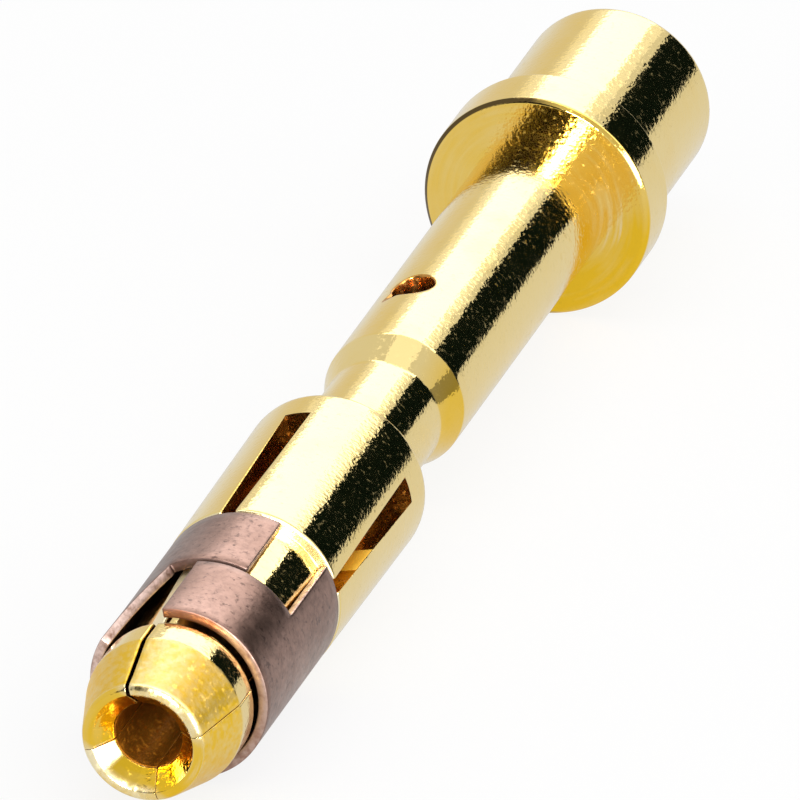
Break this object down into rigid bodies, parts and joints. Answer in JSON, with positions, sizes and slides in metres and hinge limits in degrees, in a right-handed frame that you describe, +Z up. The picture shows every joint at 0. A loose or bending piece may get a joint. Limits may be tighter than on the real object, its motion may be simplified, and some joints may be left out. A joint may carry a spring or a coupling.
{
  "type": "crimp contact",
  "caption": "Turned, gold-plated socket contact for a round connector, with slotted spring tines, a rolled bronze sleeve, a locating collar and a drilled rear barrel that is crimped on a wire.",
  "frame": {"origin": "on the contact's axis, in the front face of the collar, where the shank begins", "axes": "+X along the axis towards the nose that the mating pin enters, +Z up with the contact lying on its side"},
  "size_m": [0.0224, 0.0034, 0.0034],
  "materials": {
    "gold_plate": "polished gold plating over turned brass",
    "spring_bronze": "dull rolled bronze sheet, lightly tarnished"
  },
  "bodies": {
    "root": {"contact_body": "gold_plate", "spring_sleeve": "spring_bronze"}
  },
  "joints": []
}
